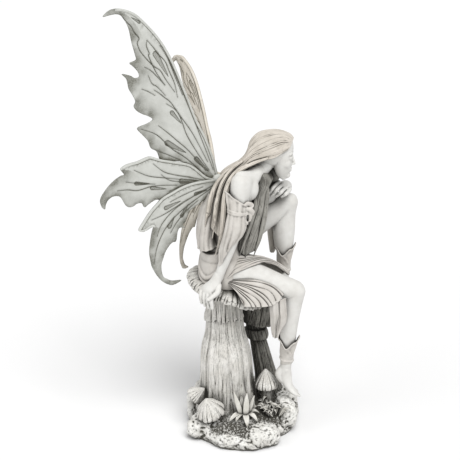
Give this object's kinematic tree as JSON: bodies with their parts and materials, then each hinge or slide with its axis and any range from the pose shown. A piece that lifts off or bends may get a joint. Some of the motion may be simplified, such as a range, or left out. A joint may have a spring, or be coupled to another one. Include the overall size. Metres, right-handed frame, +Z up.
{
  "type": "garden fairy figurine",
  "caption": "Cast figurine of a winged fairy sitting on a mushroom, with a foot on a smaller one, on a rocky base.",
  "frame": {"origin": "middle of the base's flat underside, under the mushroom", "axes": "+Z up; +X the way the fairy faces; -Y her right side, the side that the picture shows"},
  "size_m": [0.2272, 0.268, 0.4955],
  "materials": {
    "stone_resin": "cast stone resin, matt antique white with a dark wash in the hollows",
    "wing_resin": "cast stone resin, cool grey white with dark engraved lines and stippled edges",
    "far_wing_resin": "cast stone resin, warm cream with dark engraved lines"
  },
  "bodies": {
    "root": {"figure_casting": "stone_resin", "right_wing": "wing_resin", "left_wing": "far_wing_resin"}
  },
  "joints": []
}
